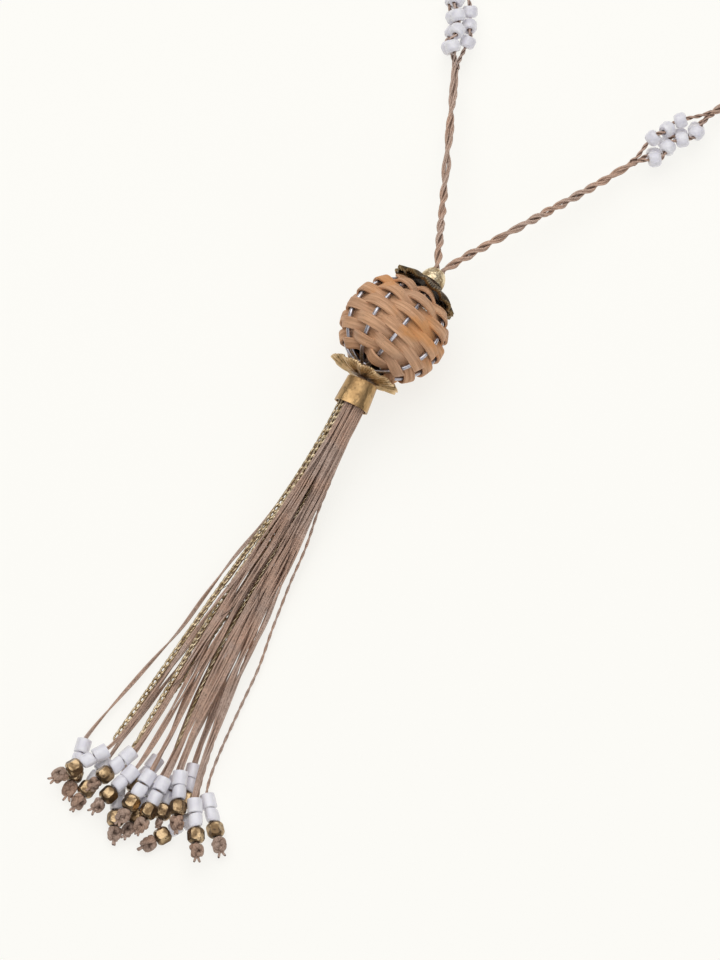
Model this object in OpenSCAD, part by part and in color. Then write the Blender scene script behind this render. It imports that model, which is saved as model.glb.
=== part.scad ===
// A long necklace, laid flat on a table: a braided neck cord with clusters of white beads, a woven
// rattan ball between two petal cups, and a tassel of linen threads and fine chains.
// +Z is up, the neck loop lies towards +Y and the tassel towards -Y. The origin is on the table,
// under the middle of the necklace.

/* [Neck cord] */
// Length of the braided cord, once round from dome to dome
cord_length = 840; // [700:10:1000]
// Thickness of the braided cord
cord_d = 2.5; // [2:0.1:3.2]
// Half of the angle between the two sides where they leave the dome
cord_spread = 25.5; // [18:0.5:32]
// Distance along the cord from the dome to where it first opens for beads
first_cluster = 68; // [60:1:80]
// Distance from one cluster's start to the next one's
cluster_step = 85; // [70:1:100]
// Length of one opened stretch with its beads
cluster_length = 26; // [25.5:0.5:30]

/* [Cluster beads] */
// Outer diameter of a cluster bead
seed_d = 4.4; // [4:0.1:4.5]
// Length of a cluster bead
seed_l = 3.4; // [3:0.1:3.6]
// Bore of a cluster bead
seed_bore = 1.7; // [1.6:0.1:2]
// Thickness of one strand inside a cluster
strand_d = 1.1; // [0.8:0.1:1.2]

/* [Ball] */
// Height of the ball's centre above the table
ball_z = 15.6; // [15.55:0.05:16.5]
// Radius of the wire cage, to the middle of the wire
cage_r = 13.95; // [13.45:0.05:13.95]
// Thickness of the cage wire
wire_d = 1.2; // [0.9:0.1:1.3]
// Thickness of the rattan strip
strip_t = 0.8; // [0.6:0.1:0.9]
// Width of the rattan strip where it crosses a wire
strip_w = 3.4; // [2.8:0.1:3.6]

/* [Petal cups] */
// Radius of both petal cups, to the tip of a petal
petal_r = 10.7; // [9:0.1:11]
// Number of petals round a cup
petals = 12; // [10:1:14]
// Thickness of the cups' sheet brass
petal_t = 0.75; // [0.6:0.05:1]

/* [Tassel] */
// Length of the brass tube
tube_l = 7.7; // [7:0.1:9]
// Diameter of the tube at its mouth
tube_d = 10; // [9.4:0.1:10.4]
// Thickness of a tassel thread
thread_d = 1; // [0.8:0.1:1]
// Thickness of a fine chain
chain_d = 1.8; // [1.4:0.1:1.8]

/* [End beads] */
// Diameter of a white end bead
white_d = 4.2; // [3.8:0.1:4.2]
// Length of a white end bead
white_l = 4; // [3.6:0.1:4]
// Width across the corners of a faceted brass bead
brass_d = 4.8; // [4.4:0.1:4.8]
// Length of a faceted brass bead
brass_l = 4.1; // [3.6:0.1:4.1]
// Bore of the end beads
end_bore = 1.5; // [1.3:0.1:1.8]

/* [Hidden] */
$fn = 48;
UP = [0, 0, 1];

linen = [0.65, 0.53, 0.47];
rattan = [0.80, 0.60, 0.43];
steel = [0.78, 0.78, 0.80];
brass = [0.72, 0.58, 0.32];
pale_brass = [0.85, 0.77, 0.52];
dark_brass = [0.50, 0.38, 0.20];
white = [0.93, 0.92, 0.95];

function unit(v) = v / norm(v);
function tangent(path, i) = unit(path[min(i + 1, len(path) - 1)] - path[max(i - 1, 0)]);
function smooth(t) = let (c = max(0, min(1, t))) c * c * (3 - 2 * c);
function two_digits(i) = str(i < 10 ? "0" : "", i);

// A closed tube round a path, with one radius for each point and its ends cut square
module swept_tube(path, radii, sides) {
    rings = len(path);
    points = [
        for (i = [0:rings - 1])
            let (along = tangent(path, i), across = unit(cross(along, UP)), over = cross(across, along))
            for (k = [0:sides - 1])
                path[i] + radii[i] * (cos(360 * k / sides) * across + sin(360 * k / sides) * over)
    ];
    walls = [
        for (i = [0:rings - 2], k = [0:sides - 1])
            let (a = i * sides + k, b = i * sides + (k + 1) % sides)
            each [[a, b, b + sides], [a, b + sides, a + sides]]
    ];
    first_end = [for (k = [sides - 1:-1:0]) k];
    last_end = [for (k = [0:sides - 1]) (rings - 1) * sides + k];
    polyhedron(points, concat(walls, [first_end], [last_end]));
}

// Lays an upright shape along a direction, with its middle at a place
module laid_along(place, direction) {
    d = unit(direction);
    translate(place)
        rotate([0, acos(d.z), atan2(d.y, d.x)])
            children();
}

// The cord's route. It leaves the dome in a V, opens into an arc, and is the same on both sides.
cord_apex = [0, 20.5, 14.6];
cord_r = cord_d / 2;
end_r = 0.85;
end_x = 0.97;
half_length = cord_length / 2;
arc_r = half_length / (1 / tan(cord_spread) + (90 + cord_spread) * PI / 180);
side_l = arc_r / tan(cord_spread);
arc_centre_y = cord_apex.y + arc_r / sin(cord_spread);

// Where each right-hand cluster starts. The left side is its mirror image.
cluster_starts = [for (i = [0:2]) first_cluster + i * cluster_step];

// Height of the cord's middle at distances from the dome. It rises to each cluster over one
// length, and comes back down to the table over another.
cord_lie = 1.4;
cluster_lie = 5.45;
rise_length = 18;
fall_length = 22;
lie_keys = [
    [0, cord_apex.z],
    for (start = cluster_starts)
        each [
            if (start > first_cluster) [start - rise_length, cord_lie],
            [start, cluster_lie],
            [start + cluster_length, cluster_lie],
            [start + cluster_length + fall_length, cord_lie]
        ],
    [half_length, cord_lie]
];

function lie_at(s, i = 0) =
    i >= len(lie_keys) - 2 || s <= lie_keys[i + 1][0]
        ? let (a = lie_keys[i], b = lie_keys[i + 1])
            a[1] + (b[1] - a[1]) * smooth((s - a[0]) / (b[0] - a[0]))
        : lie_at(s, i + 1);

function right_side(s) =
    let (turn = (s - side_l) / arc_r * 180 / PI - cord_spread)
    s < side_l
        ? [max(end_x, s * sin(cord_spread)), cord_apex.y + s * cos(cord_spread), lie_at(s)]
        : [arc_r * cos(turn), arc_centre_y + arc_r * sin(turn), lie_at(s)];

function cord_at(s) =
    s <= half_length
        ? right_side(s)
        : let (p = right_side(cord_length - s)) [-p.x, p.y, p.z];

direction_step = 0.5;
function cord_direction(s) = unit(cord_at(s + direction_step) - cord_at(s - direction_step));

// Rings along each stretch of cord between the clusters, closer where it leaves the dome
dome_ease = 1.4;
function stretch_rings(start, finish, rings, ease = 1) =
    [for (i = [0:rings]) start + (finish - start) * pow(i / rings, ease)];

right_stretches = [
    stretch_rings(0, cluster_starts[0], 10, dome_ease),
    stretch_rings(cluster_starts[0] + cluster_length, cluster_starts[1], 7),
    stretch_rings(cluster_starts[1] + cluster_length, cluster_starts[2], 7)
];
front_stretches = concat(right_stretches, [for (run = right_stretches) [for (s = run) cord_length - s]]);
back_start = cluster_starts[2] + cluster_length;
back_stretch = stretch_rings(back_start, cord_length - back_start, 30);

// The ends are pressed thinner where they share the dome's hole, and swell once they are out of it
pressed_length = 2.4;
swell_length = 5;
function cord_radius(s) =
    let (from_dome = min(s, cord_length - s))
    end_r + (cord_r - end_r) * smooth((from_dome - pressed_length) / swell_length);

module cord_stretch(run) {
    color(linen) swept_tube([for (s = run) cord_at(s)], [for (s = run) cord_radius(s)], 8);
}

// The stretches from the dome to the last cluster on each side
module neck_cord() {
    for (run = front_stretches) cord_stretch(run);
}

// The plain stretch round the back of the neck
module neck_cord_back() {
    cord_stretch(back_stretch);
}

// Beads of one cluster. Bead k is on strand k % 3: they climb round the cord like a loose braid.
// Columns: turn added to the bead's place, lean of its axis away from the cord, and skew of its
// axis round the cord, in degrees
seed_rows = [
    [10, 22, 14],
    [-6, 20, -20],
    [0, 16, 24],
    [-10, -22, -16],
    [10, -18, 22],
    [4, 0, -24],
    [-4, 20, 12],
    [6, 18, -22],
    [-8, -16, 20],
    [8, -22, -14],
    [-10, -20, 18]
];
seed_step = 1.62;
seed_start = 4.8;
seed_out = 3;
// A cluster bead's ends are rounded by a ball this many times as wide as the bead
seed_round = 1.07;
// Turn of each cluster about the cord
cluster_turns = [150, 60, 200, 200, 20, 105];

// Place and axis of bead k in its cluster: along the cord, to its left, and up
function seed_turn(c, k) = cluster_turns[c] + 120 * k + seed_rows[k][0];

function seed_place(c, k) =
    let (turn = seed_turn(c, k))
    [seed_start + seed_step * k, seed_out * cos(turn), seed_out * sin(turn)];

function seed_axis(c, k) =
    let (turn = seed_turn(c, k), away = tan(seed_rows[k][1]), round_it = tan(seed_rows[k][2]))
    unit([1, away * cos(turn) - round_it * sin(turn), away * sin(turn) + round_it * cos(turn)]);

// A cluster's own place turned into a place on the necklace. Clusters 0 to 2 are on the right,
// from the dome outwards, and clusters 3 to 5 on the left, from the back to the dome.
function on_right_cord(start, p) =
    let (s = start + p.x, along = cord_direction(s), left = unit(cross(UP, along)))
    cord_at(s) + p.y * left + p.z * UP;

function on_cord(c, p) =
    let (q = on_right_cord(cluster_starts[min(c, 5 - c)], p)) c < 3 ? q : [-q.x, q.y, q.z];

module bead_cluster(c) {
    color(white)
        for (k = [0:len(seed_rows) - 1]) {
            middle = seed_place(c, k);
            ahead = middle + seed_axis(c, k);
            laid_along(on_cord(c, middle), on_cord(c, ahead) - on_cord(c, middle))
                difference() {
                    intersection() {
                        cylinder(d = seed_d, h = seed_l, center = true);
                        sphere(d = seed_d * seed_round);
                    }
                    cylinder(d = seed_bore, h = seed_l * 2, center = true);
                }
        }
}

// One strand of a cluster: in from the cord, straight through each of its beads, and back
strand_gather = 0.72;
strand_gap = 0.3;
strand_lead = 1;
strand_past_bead = 0.15;
function strand_end(s, turn) = [s, strand_gather * cos(turn), strand_gather * sin(turn)];

function strand_route(c, j) =
    let (
        turn = cluster_turns[c] + 120 * j,
        last = len(seed_rows) - 1,
        reach = seed_l / 2 + strand_past_bead
    )
    concat(
        [strand_end(strand_gap, turn), strand_end(strand_lead, turn)],
        [for (k = [j:3:last], side = [-1, 1]) seed_place(c, k) + side * reach * seed_axis(c, k)],
        [strand_end(cluster_length - strand_lead, turn), strand_end(cluster_length - strand_gap, turn)]
    );

module cluster_strands() {
    color(linen)
        for (c = [0:5], j = [0:2]) {
            route = [for (p = strand_route(c, j)) on_cord(c, p)];
            swept_tube(route, [for (p = route) strand_d / 2], 6);
        }
}

// The pendant's pieces stand on one bent line. Each has its own lean from +Y towards +X, and the
// tube swings a little to +X and droops towards the table.
ball_centre = [-1.8, 0, ball_z];
ball_lean = 5.6;
top_lean = 9.8;
tube_direction = unit([0.088, -0.984, -0.156]);

// Turns an upright shape to point towards the neck, with its X side up
module toward_neck(place, lean) {
    translate(place)
        rotate([0, 0, -lean])
            rotate(a = -120, v = [1, 1, 1])
                children();
}

dome_h = 4.8;
dome_d = 7.4;
dome_wall = 0.6;
dome_hole_r = 2;
dome_lean = 2;
dome_steps = 8;
dome_base = [-0.17, 17.6, 14.6];

// Outline of the dome's face, its wall thinned by an inset, from the hole down to the base
function dome_outline(inset) =
    let (r = dome_d / 2 - inset, h = dome_h - inset, top = acos(dome_hole_r / r))
    [for (i = [dome_steps:-1:0]) [r * cos(top * i / dome_steps), h * sin(top * i / dome_steps)]];

module dome_bead() {
    inner = dome_outline(dome_wall);
    color(pale_brass)
        toward_neck(dome_base, dome_lean)
            rotate_extrude()
                polygon(concat(dome_outline(0), [for (i = [len(inner) - 1:-1:0]) inner[i]]));
}

// Petal cups: sheet brass pressed into fluted petals with a scalloped rim
cup_hole_r = 1.75;
// Columns: share of the way from hole to rim, share of the cup's depth, height of the flutes
cup_rows = [
    [0, 0, 0],
    [0.2, 0.04, 0.05],
    [0.5, 0.25, 0.25],
    [0.8, 0.66, 0.4],
    [1, 1, 0.45]
];
steps_per_petal = 4;
scallop = 0.9;

function cup_point(row, step, depth, thickness) =
    let (
        angle = 360 * step / (petals * steps_per_petal),
        petal = cos(petals * angle),
        out = cup_rows[row],
        r = cup_hole_r + out[0] * (petal_r - cup_hole_r - scallop * (1 - petal) / 2 * out[0])
    )
    [r * cos(angle), r * sin(angle), -depth * out[1] + out[2] * petal + thickness];

module petal_cup(depth) {
    around = petals * steps_per_petal;
    rows = len(cup_rows);
    sheet = rows * around;
    points = [
        for (thickness = [0, -petal_t], row = [0:rows - 1], step = [0:around - 1])
            cup_point(row, step, depth, thickness)
    ];
    both_faces = [
        for (row = [0:rows - 2], step = [0:around - 1])
            let (a = row * around + step, b = row * around + (step + 1) % around)
            each [
                [a, b, b + around], [a, b + around, a + around],
                [a + sheet, b + around + sheet, b + sheet], [a + sheet, a + around + sheet, b + around + sheet]
            ]
    ];
    hole_edge = [
        for (step = [0:around - 1])
            let (a = step, b = (step + 1) % around)
            each [[a, b + sheet, b], [a, a + sheet, b + sheet]]
    ];
    rim_edge = [
        for (step = [0:around - 1])
            let (a = sheet - around + step, b = sheet - around + (step + 1) % around)
            each [[a, b, b + sheet], [a, b + sheet, a + sheet]]
    ];
    polyhedron(points, concat(both_faces, hole_edge, rim_edge));
}

top_cup_place = [0.3, 17.0, 15];
top_cup_depth = 3.1;
bottom_cup_place = [-2.3, -16.8, 15];
bottom_cup_depth = 1.4;
bottom_cup_direction = unit([0.015, -0.987, -0.156]);

module top_flower() {
    color(dark_brass)
        toward_neck(top_cup_place, top_lean)
            petal_cup(top_cup_depth);
}

// The lower cup opens towards the ball
module bottom_flower() {
    color(brass)
        laid_along(bottom_cup_place, bottom_cup_direction)
            petal_cup(bottom_cup_depth);
}

// The cage: nine wires from pole to pole. Longitude 0 is on top, and grows towards +X.
rib_longitudes = [-58, -18, 18, 67, 104, 143, 181, 221, 261];
pole_ring_r = 2.3;
pole_angle = asin(pole_ring_r / cage_r);

module wire_ribs() {
    color(steel)
        toward_neck(ball_centre, ball_lean) {
            for (longitude = rib_longitudes)
                rotate([0, 0, longitude])
                    rotate([90, 0, 0])
                        rotate([0, 0, pole_angle - 90])
                            rotate_extrude(angle = 180 - 2 * pole_angle)
                                translate([cage_r, 0]) circle(d = wire_d, $fn = 24);
            for (side = [-1, 1])
                translate([0, 0, side * cage_r * cos(pole_angle)])
                    rotate_extrude()
                        translate([pole_ring_r, 0]) circle(d = wire_d, $fn = 24);
        }
}

// The weave: one strip in a spiral that passes over one wire and under the next. An odd number
// of wires makes each turn pass the other way from the turn before.
weave_start = 33;
weave_turns = 10.45;
row_pitch = 11.25;
steps_per_gap = 4;
strip_over = 1.1;
strip_under = 1.25;
strip_w_between = 2.5;
strip_w_middle = 2.42;
wires = len(rib_longitudes);

// Longitude, crossing height and width of the strip at step n
function weave_longitude(n) =
    let (
        gap = floor(n / steps_per_gap),
        part = n / steps_per_gap - gap,
        a = rib_longitudes[gap % wires],
        b = rib_longitudes[(gap + 1) % wires] + ((gap + 1) % wires == 0 ? 360 : 0)
    )
    a + (b - a) * part + 360 * floor(gap / wires);

function weave_height(n) =
    let (wave = cos(180 * n / steps_per_gap)) wave > 0 ? strip_over * wave : strip_under * wave;

function weave_width(n) =
    let (from_wire = abs((n + steps_per_gap / 2) % steps_per_gap - steps_per_gap / 2))
    from_wire == 0 ? strip_w : from_wire == 1 ? strip_w_between : strip_w_middle;

function on_ball(r, colatitude, longitude) =
    r * [sin(colatitude) * cos(longitude), sin(colatitude) * sin(longitude), cos(colatitude)];

module rattan_weave() {
    steps = floor(weave_turns * wires * steps_per_gap);
    points = [
        for (n = [0:steps])
            let (
                longitude = weave_longitude(n),
                colatitude = weave_start + row_pitch * (longitude - rib_longitudes[0]) / 360,
                middle = on_ball(cage_r + weave_height(n), colatitude, longitude),
                out = unit(middle),
                across = on_ball(1, colatitude + 90, longitude) * weave_width(n) / 2,
                half_t = out * strip_t / 2
            )
            each [middle - across - half_t, middle + across - half_t, middle + across + half_t, middle - across + half_t]
    ];
    walls = [
        for (n = [0:steps - 1], k = [0:3])
            let (a = 4 * n + k, b = 4 * n + (k + 1) % 4)
            each [[a, b, b + 4], [a, b + 4, a + 4]]
    ];
    color(rattan)
        toward_neck(ball_centre, ball_lean)
            polyhedron(points, concat(walls, [[3, 2, 1, 0]], [[for (k = [0:3]) 4 * steps + k]]));
}

tube_top = [-1.6, -17.6, 14.8];
tube_top_d = 8.9;
tube_wall = 0.45;
tube_cap_hole_r = 1.75;
tube_mouth = tube_top + tube_l * tube_direction;

module tassel_tube() {
    color(brass)
        laid_along(tube_top, tube_direction)
            difference() {
                cylinder(d1 = tube_top_d, d2 = tube_d, h = tube_l);
                translate([0, 0, tube_wall])
                    cylinder(d1 = tube_top_d - 2 * tube_wall, d2 = tube_d - 2 * tube_wall, h = tube_l);
                translate([0, 0, -1]) cylinder(r = tube_cap_hole_r, h = 3);
            }
}

// The tassel's head starts head_top below the tube's top and stops head_sink above its mouth
head_sink = 2.2;
head_top = 1.4;
head_clear = 0.22;

// The hidden cord runs straight through the ball and bends a little as it leaves each end.
// Its joints are balls a little wider than the cord, and it stops short of the tassel's head.
core_r = 1.2;
core_joint = 1.04;
core_stop = 0.45;
function on_ball_axis(y) = ball_centre + y * [sin(ball_lean), cos(ball_lean), 0];
core_points = [
    [0.4, 20.2, 14.7],
    on_ball_axis(cage_r),
    on_ball_axis(-cage_r),
    tube_top + (head_top - core_stop) * tube_direction
];

module core_cord() {
    color(linen) {
        for (i = [0:2])
            laid_along(core_points[i], core_points[i + 1] - core_points[i])
                cylinder(r = core_r, h = norm(core_points[i + 1] - core_points[i]));
        for (i = [1, 2]) translate(core_points[i]) sphere(r = core_r * core_joint);
    }
}

// Tassel threads. Places across the tube's mouth are measured from its axis: x' to the right, z' up.
// Columns: slot x', slot z', x and z half way down, x, y and layer of the first white bead,
// heading of the beads and of the thread as it reaches them, in degrees from -Y towards +X,
// and radius of the knot
via_y = -95;
thread_rows = [
    [-2.9, -0.95, -9.9, 2.6, -16.0, -144.0, 0, 15, 0, 1.8],
    [-0.85, 3.35, -6.2, 6.6, -9.9, -144.2, 1, -30, -15, 1.8],
    [-0.55, 2.2, -3.6, 5.9, -3.2, -141.0, 1, -18, -8, 1.5],
    [-1.75, -1.1, -4.8, 1.2, -8.3, -145.6, 0, -3, -3, 1.7],
    [0.6, 2.1, -1.2, 5.9, 0.03, -145.2, 1, -14, -6, 1.6],
    [0.2, 3.2, 0.9, 6.2, 4.65, -143.8, 1, -1, 0, 1.7],
    [-0.6, -1.1, -2.8, 1.1, -1.35, -149.7, 0, 27, 6, 1.7],
    [1.75, 2.3, 3.2, 5.9, 9.05, -143.5, 1, 5, 5, 1.7],
    [0.55, -1.1, -0.6, 1.1, 3.3, -138.3, 0, -6, 0, 0.8],
    [1.7, -1.0, 3.9, 1.1, 10.75, -140.8, 0, 12, 12, 0.9],
    [2.4, 1.2, 5.6, 5.0, 12.4, -139.5, 1, 27, 18, 1.7],
    [1.2, -2.2, 8.4, 1.1, 19.85, -147.5, 0, -29, 38, 1.8],
    [3.2, 0.3, 9.8, 5.0, 19.9, -144.15, 1, 33, 20, 1.7],
    [2.35, -2.1, 12.8, 1.5, 21.65, -140.1, 0, 44, 26, 1.8],
    [0, -2.2, 1.8, 1.1, 7.05, -145.5, 0, 0, -6, 1.6],
    [2.85, -0.85, 6.2, 1.4, 13.6, -135.0, 0, 17, 15, 0.8]
];
threads = len(thread_rows);
// How strongly a thread or chain heads for its end, and how far a thread climbs to its beads
// on the way, in the lower and upper layer
arrival = 24;
arrival_rise = [4.2, 1.2];
// How much flatter than its ends a thread runs half way down
via_flat = 12;
// Distances from a thread's start to the mouth place above it, and from its end to its first bead
thread_sunk = 0.6;
entry_gap = 0.3;
bead_pitch = 4.1;
layer_step = 4.3;
layer_z = [white_d / 2, white_d / 2 + layer_step];
brass_along = 2 * bead_pitch + 0.05;
brass_bore = end_bore + 0.3;
tail_r = 0.45;
// The end beads' corners are rounded by balls this many times as wide as their corners
white_round = 0.965;
brass_round = 1.09;

function heading(degrees) = [sin(degrees), -cos(degrees), 0];
function mouth_place(slot_x, slot_z) =
    let (across = unit(cross(UP, tube_direction)), over = cross(tube_direction, across))
    tube_mouth - head_sink * tube_direction + slot_x * across + slot_z * over;

function first_bead(row) = [row[4], row[5], layer_z[row[6]]];

// A smooth curve from a to b that sets out along da and arrives along db
function curve_point(a, da, b, db, t) =
    (2 * pow(t, 3) - 3 * pow(t, 2) + 1) * a + (pow(t, 3) - 2 * pow(t, 2) + t) * da
        + (3 * pow(t, 2) - 2 * pow(t, 3)) * b + (pow(t, 3) - pow(t, 2)) * db;

// From the head, through a place half way down, to the end. The thread lands before it ends.
function hanging_route(start, via, finish, arrive, rings) =
    let (
        set_out = tube_direction * norm(via - start),
        pass = [(finish.x - start.x) / 2, (finish.y - start.y) / 2, (finish.z - start.z) / via_flat]
    )
    concat(
        [for (i = [0:rings - 1]) curve_point(start, set_out, via, pass, i / rings)],
        [for (i = [0:rings - 1]) curve_point(via, pass, finish, arrive, i / rings)]
    );

// Shape of a thread after its beads, in knot radii: distance past the last bead, and radius
knot_rows = [[0.1, 0], [0.35, 0.75], [0.95, 1], [1.7, 0.9], [2.2, 0.35], [2.8, 0.25]];

function thread_start(row) = mouth_place(row[0], row[1]) - thread_sunk * tube_direction;

module thread(row) {
    first = first_bead(row);
    ahead = heading(row[7]);
    entry = first - ahead * (white_l / 2 + entry_gap);
    arrive = arrival * heading(row[8]) + arrival_rise[row[6]] * UP;
    last_face = first + ahead * (brass_along + brass_l / 2);
    path = concat(
        hanging_route(thread_start(row), [row[2], via_y, row[3]], entry, arrive, 7),
        [entry],
        [for (k = knot_rows) last_face + ahead * k[0] * row[9]]
    );
    swept_tube(
        path,
        [
            for (i = [0:len(path) - 1])
                let (k = i - (len(path) - len(knot_rows)))
                k <= 0 ? thread_d / 2 : max(tail_r, row[9] * knot_rows[k][1])
        ],
        6
    );
}

module tassel() {
    head_r = tube_top_d / 2 - tube_wall - head_clear;
    color(linen) {
        laid_along(tube_top + head_top * tube_direction, tube_direction)
            cylinder(r = head_r, h = tube_l - head_top - head_sink);
        for (row = thread_rows) thread(row);
    }
}

module white_bead() {
    difference() {
        intersection() {
            cylinder(d = white_d, h = white_l, center = true);
            sphere(d = norm([white_d, white_l]) * white_round);
        }
        cylinder(d = end_bore, h = white_l * 2, center = true);
    }
}

module brass_bead_shape() {
    difference() {
        intersection() {
            rotate([0, 0, 30]) cylinder(d = brass_d, h = brass_l, center = true, $fn = 6);
            sphere(d = brass_d * brass_round);
        }
        cylinder(d = brass_bore, h = brass_l * 2, center = true);
    }
}

module white_beads(i) {
    row = thread_rows[i];
    color(white)
        for (k = [0, 1])
            laid_along(first_bead(row) + k * bead_pitch * heading(row[7]), heading(row[7]))
                white_bead();
}

module brass_bead(i) {
    row = thread_rows[i];
    color(pale_brass)
        laid_along(first_bead(row) + brass_along * heading(row[7]), heading(row[7]))
            brass_bead_shape();
}

// Fine chains. Columns: slot x', slot z', x and z half way down, x, y and z of the end
chain_rows = [
    [-3.1, 0.45, -6.4, 3.4, -9.8, -138.5, 1.1],
    [-2.15, 2.15, -4.6, 4.8, -3.3, -136, 4.6],
    [-1.1, 0.45, -1.5, 3.2, -4.2, -141, 2.5],
    [0.95, 0.45, 1.6, 3.2, 6.4, -132.5, 3.2]
];
chain_clear = 0.2;

module chain(i) {
    row = chain_rows[i];
    finish = [row[4], row[5], row[6]];
    start = mouth_place(row[0], row[1]) + chain_clear * tube_direction;
    via = [row[2], via_y, row[3]];
    path = concat(hanging_route(start, via, finish, arrival * unit(finish - via), 10), [finish]);
    color(pale_brass) swept_tube(path, [for (p = path) chain_d / 2], 8);
}

// The origin is under the middle of the whole necklace
loop_far_y = arc_centre_y + arc_r + cord_r;
function knot_tip_y(row) =
    first_bead(row).y - cos(row[7]) * (brass_along + brass_l / 2 + knot_rows[len(knot_rows) - 1][0] * row[9])
        - tail_r * abs(sin(row[7]));
tassel_far_y = min([for (row = thread_rows) knot_tip_y(row)]);

module placed() {
    translate([0, -(loop_far_y + tassel_far_y) / 2, 0]) children();
}

placed() neck_cord();
placed() neck_cord_back();
placed() cluster_strands();
for (c = [1:6])
    placed() bead_cluster(c - 1);
placed() dome_bead();
placed() top_flower();
placed() rattan_weave();
placed() wire_ribs();
placed() bottom_flower();
placed() tassel_tube();
placed() core_cord();
placed() tassel();
for (i = [1:4])
    placed() chain(i - 1);
for (i = [1:threads])
    placed() brass_bead(i - 1);
for (i = [1:threads])
    placed() white_beads(i - 1);
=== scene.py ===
import math
import random
from collections import namedtuple

import bpy
import numpy as np
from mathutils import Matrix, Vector


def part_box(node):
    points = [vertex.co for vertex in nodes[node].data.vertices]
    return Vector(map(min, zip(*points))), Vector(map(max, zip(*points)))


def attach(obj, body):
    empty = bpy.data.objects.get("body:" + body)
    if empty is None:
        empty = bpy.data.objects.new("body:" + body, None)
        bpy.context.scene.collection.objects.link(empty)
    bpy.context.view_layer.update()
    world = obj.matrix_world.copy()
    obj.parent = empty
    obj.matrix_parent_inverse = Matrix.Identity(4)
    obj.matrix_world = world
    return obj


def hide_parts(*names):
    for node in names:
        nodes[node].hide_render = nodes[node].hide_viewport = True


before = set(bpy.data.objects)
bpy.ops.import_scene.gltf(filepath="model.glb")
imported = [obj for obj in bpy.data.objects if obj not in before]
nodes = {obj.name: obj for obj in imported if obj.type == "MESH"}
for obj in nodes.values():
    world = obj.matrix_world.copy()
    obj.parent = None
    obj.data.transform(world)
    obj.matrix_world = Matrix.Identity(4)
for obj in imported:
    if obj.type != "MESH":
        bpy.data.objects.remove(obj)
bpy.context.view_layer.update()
MM = 0.001

# Camera. The necklace lies on a table and is looked at steeply, from beyond the tassel's end and
# on its +X side. A long lens 1.6 m away keeps the tassel's threads almost parallel.
ball_centre = (-1.8, 0, 15.6)
cage_low, cage_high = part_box("wire_ribs")
ball_y = (cage_low.y + cage_high.y) / 2 / MM


def place(x, y, z):
    """A place in metres, from millimetres with Y measured from the ball's centre."""
    return Vector((x, y + ball_y, z)) * MM


view_azimuth = math.radians(30.4)
view_elevation = math.radians(70)
view_distance = 1600
lens_mm = 216
view_reach = 10
aim_right = -9.44
aim_up = -41.82
view_back = Vector((
    math.sin(view_azimuth) * math.cos(view_elevation),
    -math.cos(view_azimuth) * math.cos(view_elevation),
    math.sin(view_elevation),
))
view_right = Vector((math.cos(view_azimuth), math.sin(view_azimuth), 0))
view_up = view_back.cross(view_right)
bpy.ops.object.camera_add(
    location=place(*ball_centre)
    + (view_back * view_distance + view_right * aim_right + view_up * aim_up) * MM,
    rotation=(math.pi / 2 - view_elevation, 0, view_azimuth),
)
camera = bpy.context.object
camera.name = "camera"
camera.data.lens = lens_mm
camera.data.clip_end = view_reach
bpy.context.scene.camera = camera


# Table and light. A plain ivory sheet that glows, so that shadows stay faint, under a broad soft
# light overhead. A weaker light stands on the camera's right, and the surround is bright above
# and dim at the horizon.
class Socket:
    """An output in a material. Sums and products of it add Math nodes."""

    def __init__(self, finish, output):
        self.finish = finish
        self.output = output

    def math(self, operation, *terms):
        sockets = dict(enumerate(terms))
        return self.finish.node("ShaderNodeMath", {"operation": operation}, sockets)

    def beside(self, output):
        """Another output of the same node."""
        return Socket(self.finish, self.output.node.outputs[output])

    def __add__(self, other):
        return self.math("ADD", self, other)

    def __sub__(self, other):
        return self.math("SUBTRACT", self, other)

    def __rsub__(self, other):
        return self.math("SUBTRACT", other, self)

    def __mul__(self, other):
        return self.math("MULTIPLY", self, other)

    def __truediv__(self, other):
        return self.math("DIVIDE", self, other)


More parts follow.
